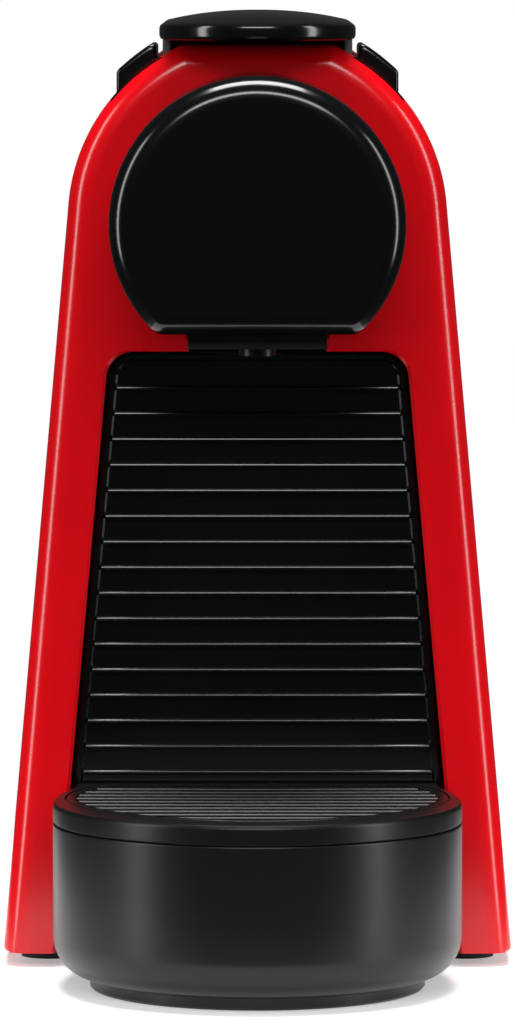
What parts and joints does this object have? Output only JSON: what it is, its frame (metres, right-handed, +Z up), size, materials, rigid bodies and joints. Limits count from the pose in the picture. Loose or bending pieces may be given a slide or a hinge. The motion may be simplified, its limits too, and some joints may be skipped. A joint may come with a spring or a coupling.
{
  "type": "pod coffee machine",
  "caption": "Compact pod coffee machine with an arched red body, black round head, opening lever, two keys, pull-out drip unit and lift-off rear water tank.",
  "frame": {"origin": "middle of the footprint on the table, at the foot of the bounding box", "axes": "+X to the right seen from the front, +Y towards the tank, +Z up"},
  "size_m": [0.1104, 0.325, 0.206],
  "materials": {
    "red_gloss": "high gloss",
    "black_gloss": "high gloss",
    "black_satin": "satin",
    "rubber": "matt",
    "steel": "brushed",
    "aluminium": "cast",
    "pale_plastic": "satin",
    "circuit_board": "satin",
    "smoked_clear": "clear"
  },
  "bodies": {
    "body": {"base_plate": "black_satin", "rubber_feet": "rubber", "front_frame": "red_gloss", "left_cover": "red_gloss", "right_cover": "red_gloss", "rear_bulkhead": "black_satin", "control_saddle": "black_gloss", "pod_guide": "black_satin", "head_cover": "black_gloss", "coffee_outlet": "black_satin", "left_brew_plate": "steel", "right_brew_plate": "steel", "tie_bars": "steel", "lever_pin": "steel", "extraction_plate": "steel", "extraction_seal": "rubber", "feed_tube": "steel", "feed_bracket": "black_satin", "brew_unit_screws": "steel", "casing_screws": "steel", "thermoblock": "aluminium", "thermostat": "pale_plastic", "thermal_fuse": "pale_plastic", "brew_hose": "pale_plastic", "vibration_pump": "steel", "pump_mounts": "rubber", "pressure_hose": "pale_plastic", "flow_meter": "pale_plastic", "pump_hose": "pale_plastic", "suction_hose": "pale_plastic", "docking_spigot": "black_satin", "docking_seal": "rubber", "control_board": "circuit_board", "board_components": "black_satin", "switch_boards": "circuit_board", "key_switches": "black_satin", "cord_gland": "rubber", "espresso_spring": "steel", "lungo_spring": "steel"},
    "lever": {"lever": "black_gloss", "lever_cap": "black_gloss", "left_cam_cheek": "steel", "right_cam_cheek": "steel"},
    "carriage": {"pod_cage": "aluminium", "guide_pins": "steel", "injection_blades": "steel", "stem_seal": "rubber"},
    "espresso_key": {"espresso_key": "black_gloss"},
    "lungo_key": {"lungo_key": "black_gloss"},
    "drip_unit": {"drip_tray": "black_satin", "pod_bin": "black_satin", "ribbed_panel": "black_gloss"},
    "cup_support": {"cup_support_rim": "black_satin", "drip_grid": "black_satin"},
    "tank": {"water_tank": "smoked_clear", "tank_filter": "pale_plastic", "valve_spring": "steel"},
    "tank_lid": {"tank_lid": "black_gloss"},
    "tank_valve": {"valve_stem": "pale_plastic", "valve_seal": "rubber"}
  },
  "joints": [
    {"name": "lever_open", "type": "hinge", "parent": "body", "child": "lever", "pos_m": [0, 0.008, 0.188], "axis": [-1, 0, 0], "range_deg": [0, 90]},
    {"name": "carriage_slide", "type": "slide", "parent": "body", "child": "carriage", "axis": [0, 1, 0], "range_m": [0, 0.03005]},
    {"name": "espresso_press", "type": "slide", "parent": "body", "child": "espresso_key", "axis": [0, 0, -1], "range_m": [0, 0.001], "stiffness_N_per_m": 600, "deforming": ["espresso_spring"]},
    {"name": "lungo_press", "type": "slide", "parent": "body", "child": "lungo_key", "axis": [0, 0, -1], "range_m": [0, 0.001], "stiffness_N_per_m": 600, "deforming": ["lungo_spring"]},
    {"name": "drip_slide", "type": "slide", "parent": "body", "child": "drip_unit", "axis": [0, -1, 0], "range_m": [0, 0.12]},
    {"name": "cup_support_lift", "type": "slide", "parent": "drip_unit", "child": "cup_support", "axis": [0, 0, 1], "range_m": [0, 0.008]},
    {"name": "tank_lift", "type": "slide", "parent": "body", "child": "tank", "axis": [0, 0, 1], "range_m": [0, 0.06]},
    {"name": "tank_lid_open", "type": "hinge", "parent": "tank", "child": "tank_lid", "pos_m": [0, 0.1593, 0.1866], "axis": [-1, 0, 0], "range_deg": [0, 100]},
    {"name": "tank_valve_close", "type": "slide", "parent": "tank", "child": "tank_valve", "axis": [0, 0, -1], "range_m": [0, 0.00251], "deforming": ["valve_spring"]}
  ],
  "couplings": [
    {"joint": "carriage_slide", "follows": "lever_open", "m_per_rad": 0.019099},
    {"joint": "tank_valve_close", "follows": "tank_lift", "ratio": 0.041667}
  ]
}
